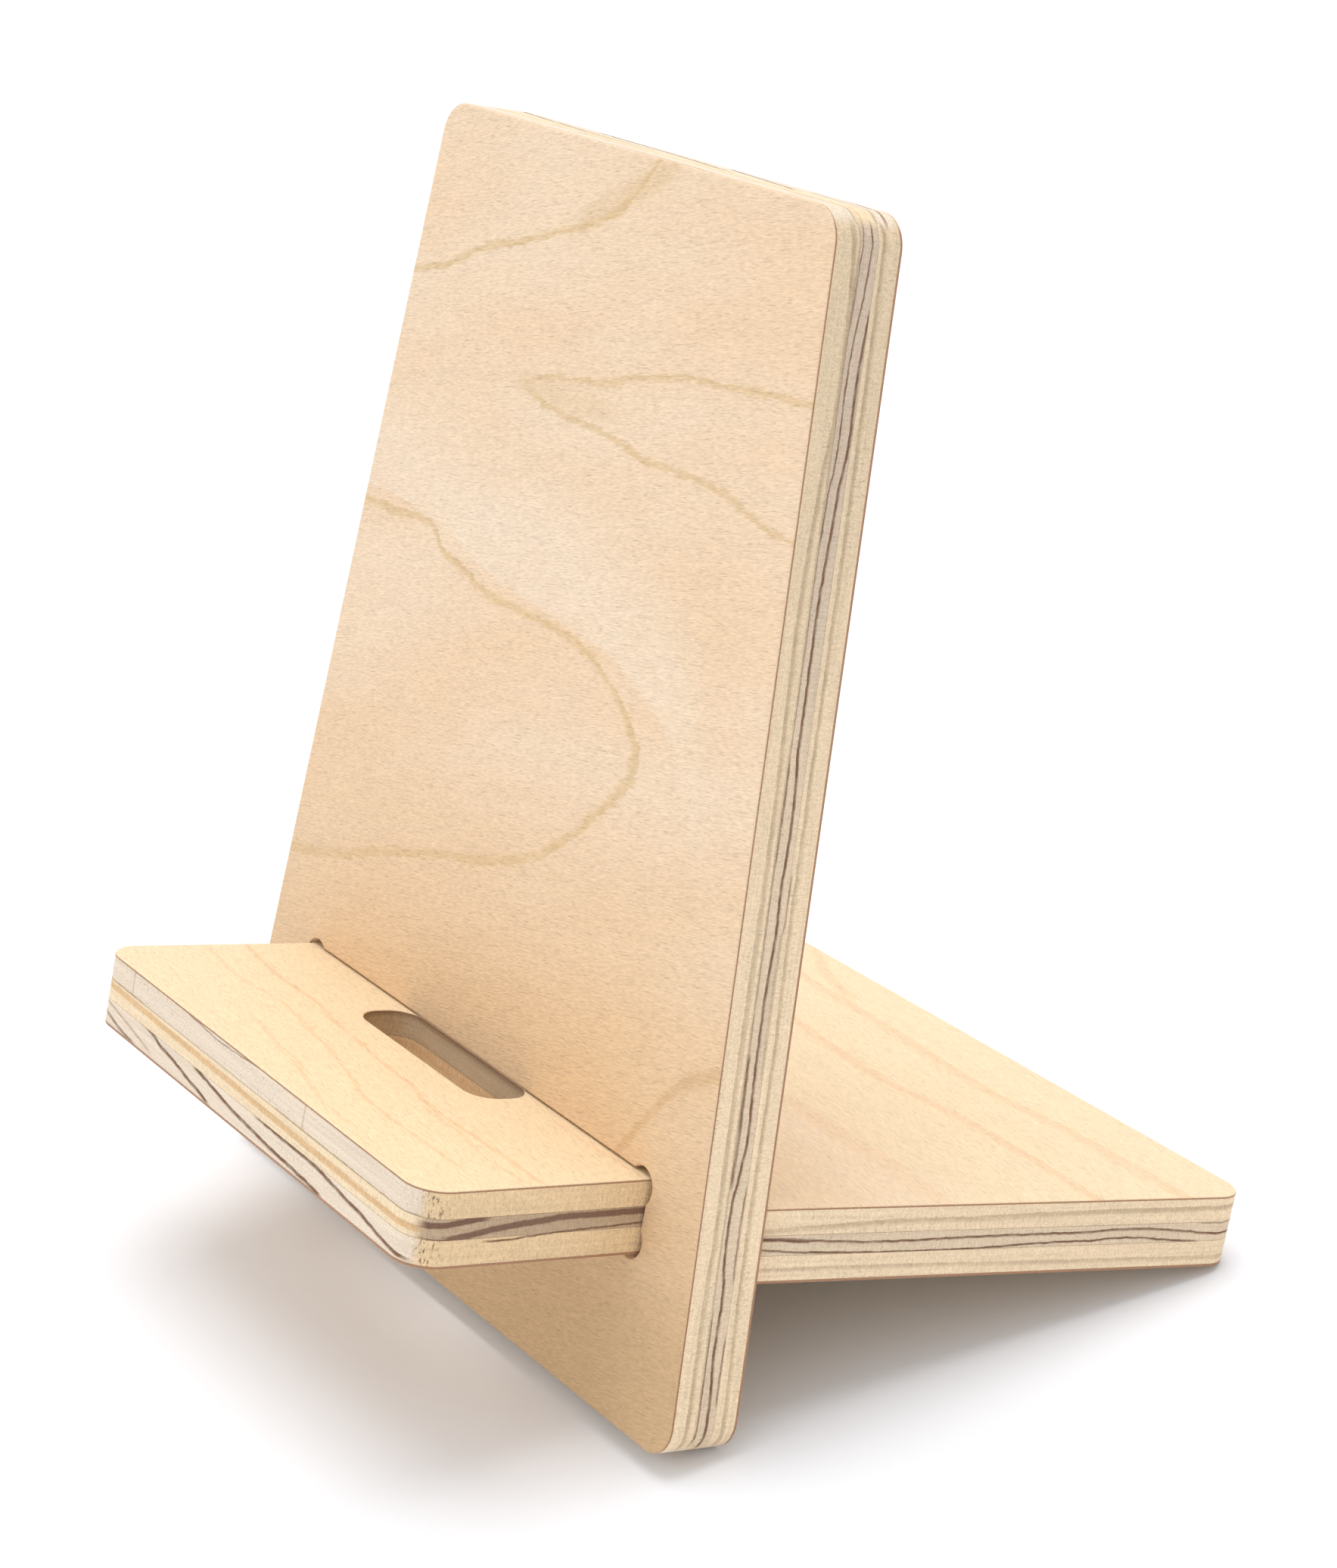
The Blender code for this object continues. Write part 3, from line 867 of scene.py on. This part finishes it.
def upright_tone_and_shade(wood, colour):
    """The upright's face turns tawny and darker towards its foot, partly its own tone and partly
    painted shade, and painted shade makes it darker still under the shelf.
    """
    # Partly the wood's own tone, partly painted shade: tawny and darker towards the foot.
    colour = wood.blend(colour, TAWNY_TONE_AND_SHADE, wood.ramp(wood.along, 110.0, 5.0))
    # Painted shade: darker under the shelf, where the shelf shades the face.
    return wood.blend(colour, UNDER_SHELF_SHADE, wood.ramp(wood.along, 36.0, 12.0) * 0.75)


def cross_tone_and_shade(wood, colour):
    """The cross board's face is creamy, and peach where it passes through the upright; painted shade
    turns it tawny and darker beside the upright.
    """
    near = wood.between(wood.along, -6.0, 34.0, 12.0)
    colour = wood.blend(colour, CREAM_FACE, 0.9 - near * 0.6)
    # Painted shade: tawny and darker beside the upright, where the upright shades the face.
    return wood.blend(colour, TAWNY_TONE_AND_SHADE, wood.between(wood.along, 0.0, 14.0, 12.0) * 0.4)


def hidden_tone(wood, colour):
    """The faces that are turned away are a little creamy all over."""
    return wood.blend(colour, CREAM_FACE, 0.35)


SHEET = SHEET_THICKNESS
# Added to a negated place along a board, these turn the board's figure end for end.
UPRIGHT_TURN = UPRIGHT_HEIGHT
CROSS_TURN = BASE_LENGTH - SHELF_REACH
PLIES = [
    (upright, "back_rear_veneer", "face_veneer", SHARP, GLUED,
     veneer("upright_rear_face", 0.0, FRONT_FIGURE, FRONT_NOSE, UPRIGHT_TURN, REAR_SLOPE,
            hidden_tone, FAINT_GLUE_EDGE)),
    (upright, "back_rear_crossband", "crossband", GLUED, GLUED,
     crossband("upright_rear_crossband", UPRIGHT_TURN, UPRIGHT_REAR_SIDE, LOWER_END, False, False)),
    (upright, "back_core", "core", GLUED, GLUED,
     core("upright_core", UPRIGHT_TURN, UPRIGHT_CORE_SIDE, [],
          CORE_END_BAND._replace(strength=FAINT_BAND))),
    (upright, "back_front_crossband", "crossband", GLUED, GLUED,
     crossband("upright_front_crossband", UPRIGHT_TURN, UPRIGHT_FRONT_SIDE, UPPER_END, False, True)),
    (upright, "back_front_veneer", "face_veneer", GLUED, SANDED,
     veneer("upright_front_face", SHEET, FRONT_FIGURE, FRONT_NOSE, 0.0, FRONT_SLOPE,
            upright_tone_and_shade, FAINT_GLUE_EDGE)),
    (cross, "base_bottom_veneer", "face_veneer", SHARP, GLUED,
     veneer("cross_underside", 0.0, TOP_FIGURE, None, CROSS_TURN, CROSS_SLOPE, hidden_tone)),
    (cross, "base_lower_crossband", "crossband", GLUED, GLUED,
     crossband("cross_lower_crossband", CROSS_TURN, CROSS_LOWER_SIDE, LOWER_END, True, False)),
    (cross, "base_core", "core", GLUED, GLUED,
     core("cross_core", CROSS_TURN, CROSS_CORE_SIDE, CROSS_BANDS, CORE_END_BAND)),
    (cross, "base_upper_crossband", "crossband", GLUED, GLUED,
     crossband("cross_upper_crossband", CROSS_TURN, CROSS_UPPER_SIDE, UPPER_END, True, True)),
    (cross, "base_top_veneer", "face_veneer", GLUED, SANDED,
     veneer("cross_top_face", SHEET, TOP_FIGURE, None, 0.0, CROSS_SLOPE, cross_tone_and_shade)),
]
for seed, (board, node, slot, ease_low, ease_high, material) in enumerate(PLIES):
    board.ply(node, slot, ease_low, ease_high, seed * PLY_SEED_STEP, material)


# --- Studio: floor, light and camera -----------------------------------------------------------------

FLOOR_HALF_SIZE = 6.0
FLOOR_CELLS = 8
FLOOR_COLOUR = (0.865, 0.880, 0.915, 1.0)
ROOM_LIGHT = 0.80
# Lamps: where they shine from, the irradiance they give over pi, and their apparent size.
LAMPS = [
    ("overhead_softbox", Vector((-0.14, 0.12, 1.0)), 0.50, math.radians(45)),
    ("front_fill", Vector((-0.5, -0.8, 0.7)), 0.10, math.radians(60)),
]

CAMERA_AIM = Vector((-0.01656, 0.02151, 0.06702))
CAMERA_DISTANCE = 0.58
CAMERA_AZIMUTH = math.radians(57.739)
CAMERA_ELEVATION = math.radians(22.647)
CAMERA_ROLL = math.radians(3.187)
CAMERA_LENS = 79.926
FILM_LONG_SIDE = 36.0


def lay_floor():
    """A square, flat floor at the height of the stand's feet."""
    half = FLOOR_HALF_SIZE
    floor_level = float(cad_box[0][2])
    side = np.linspace(-half, half, FLOOR_CELLS + 1)
    x, y = np.meshgrid(side, side, indexing="xy")
    points = np.stack([x, y, np.full_like(x, floor_level)], -1).reshape(-1, 3)
    row, step = np.meshgrid(np.arange(FLOOR_CELLS), np.arange(FLOOR_CELLS), indexing="ij")
    first = row * (FLOOR_CELLS + 1) + step
    beyond = first + FLOOR_CELLS + 1
    quads = np.stack([first, first + 1, beyond + 1, beyond], -1).reshape(-1, 4)
    mesh = fill_mesh("floor", points, quads, np.empty((0, 3), int))
    paper = bpy.data.materials.new("pale_paper")
    paper.use_nodes = True
    shader = paper.node_tree.nodes["Principled BSDF"]
    shader.inputs["Base Color"].default_value = FLOOR_COLOUR
    shader.inputs["Roughness"].default_value = 0.9
    shader.inputs["Specular IOR Level"].default_value = 0.1
    mesh.materials.append(paper)
    floor = bpy.data.objects.new("floor", mesh)
    bpy.context.scene.collection.objects.link(floor)


def light_studio():
    """An even white room, one large soft lamp overhead and a faint fill in front of the stand."""
    world = bpy.data.worlds.new("studio")
    world.use_nodes = True
    world.node_tree.nodes["Background"].inputs["Color"].default_value = (1.0, 1.0, 1.0, 1.0)
    world.node_tree.nodes["Background"].inputs["Strength"].default_value = ROOM_LIGHT
    bpy.context.scene.world = world
    for name, source, strength, spread in LAMPS:
        lamp = bpy.data.lights.new(name, "SUN")
        lamp.energy = strength * math.pi
        lamp.angle = spread
        stand = bpy.data.objects.new(name, lamp)
        stand.rotation_euler = (-source).to_track_quat("-Z", "Y").to_euler()
        bpy.context.scene.collection.objects.link(stand)


def set_camera():
    """Looks along the given azimuth and elevation at the aim point, rolled about that line."""
    forward = Vector((
        -math.sin(CAMERA_AZIMUTH) * math.cos(CAMERA_ELEVATION),
        math.cos(CAMERA_AZIMUTH) * math.cos(CAMERA_ELEVATION),
        -math.sin(CAMERA_ELEVATION)))
    level = forward.cross(Vector((0.0, 0.0, 1.0))).normalized()
    upward = level.cross(forward)
    right = level * math.cos(CAMERA_ROLL) - upward * math.sin(CAMERA_ROLL)
    top = upward * math.cos(CAMERA_ROLL) + level * math.sin(CAMERA_ROLL)
    data = bpy.data.cameras.new("camera")
    data.sensor_width = FILM_LONG_SIDE
    data.lens = CAMERA_LENS
    camera = bpy.data.objects.new("camera", data)
    turn = Matrix((right, top, -forward)).transposed()
    camera.matrix_world = Matrix.Translation(CAMERA_AIM - forward * CAMERA_DISTANCE) @ turn.to_4x4()
    bpy.context.scene.collection.objects.link(camera)
    bpy.context.scene.camera = camera


lay_floor()
light_studio()
set_camera()
bpy.context.scene.view_settings.view_transform = "Standard"
